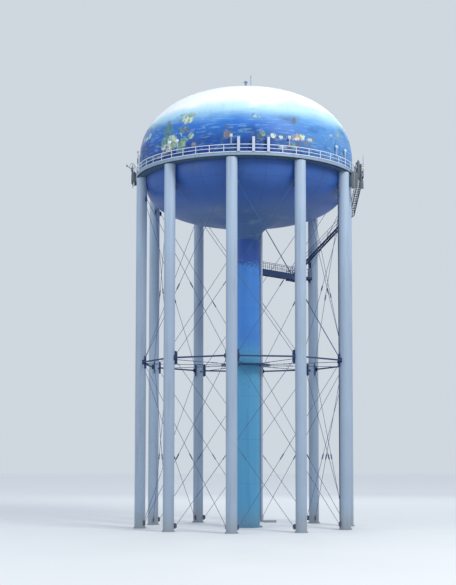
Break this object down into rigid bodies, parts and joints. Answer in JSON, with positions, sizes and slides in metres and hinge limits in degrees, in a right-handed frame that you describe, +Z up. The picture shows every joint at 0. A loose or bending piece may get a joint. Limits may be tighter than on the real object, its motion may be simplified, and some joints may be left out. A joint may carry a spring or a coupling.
{
  "type": "water tower, 1:10 scale model",
  "caption": "Elevated steel water tank on a ring of braced round columns with riser, balcony, walkway and outside stair, as a 1:10 scale model.",
  "frame": {"origin": "centre of the riser's base, on the ground at the tower's axis", "axes": "+Z up; column 1 stands on -Y; the walkway and stair are towards +X and +Y"},
  "size_m": [3.3144, 3.096, 6.3326],
  "materials": {
    "column_paint": "satin pale blue-grey paint",
    "navy_steel": "satin navy paint",
    "riser_paint": "satin blue paint, darker at the top and teal at the foot",
    "bowl_paint": "satin deep blue paint",
    "wall_paint": "satin painted sea and sky bands",
    "roof_paint": "satin white paint with pale blue clouds",
    "grey_steel": "satin pale grey-blue paint",
    "white_plastic": "white radome",
    "dark_plastic": "dark grey"
  },
  "bodies": {
    "root": {"column_1": "column_paint", "column_2": "column_paint", "column_3": "column_paint", "column_4": "column_paint", "column_5": "column_paint", "column_6": "column_paint", "column_7": "column_paint", "column_8": "column_paint", "column_9": "column_paint", "column_10": "column_paint", "strut_1": "navy_steel", "strut_2": "navy_steel", "strut_3": "navy_steel", "strut_4": "navy_steel", "strut_5": "navy_steel", "strut_6": "navy_steel", "strut_7": "navy_steel", "strut_8": "navy_steel", "strut_9": "navy_steel", "strut_10": "navy_steel", "brace_panel_1": "navy_steel", "brace_panel_2": "navy_steel", "brace_panel_3": "navy_steel", "brace_panel_4": "navy_steel", "brace_panel_5_lower": "navy_steel", "brace_panel_5_upper": "navy_steel", "brace_panel_6": "navy_steel", "brace_panel_7": "navy_steel", "brace_panel_8": "navy_steel", "brace_panel_9": "navy_steel", "brace_panel_10_lower": "navy_steel", "brace_panel_10_upper": "navy_steel", "riser": "riser_paint", "riser_flare": "bowl_paint", "riser_stays": "navy_steel", "overflow_pipe": "column_paint", "bowl_floor": "bowl_paint", "tank_bowl": "bowl_paint", "tank_wall": "wall_paint", "roof_eave": "roof_paint", "tank_roof": "roof_paint", "roof_vent": "roof_paint", "roof_mast": "grey_steel", "balcony_girder": "grey_steel", "balcony_deck": "grey_steel", "balcony_railing": "grey_steel", "walkway": "navy_steel", "walkway_rail_left": "navy_steel", "walkway_rail_right": "navy_steel", "landing_lower": "navy_steel", "stair_flight_lower": "navy_steel", "landing_middle": "navy_steel", "stair_flight_upper": "navy_steel", "landing_top": "navy_steel", "cable_tray": "dark_plastic", "antenna_panel_1": "white_plastic", "antenna_panel_2": "white_plastic", "antenna_panel_3": "white_plastic", "antenna_group_left": "dark_plastic", "antenna_group_right": "dark_plastic"}
  },
  "joints": []
}
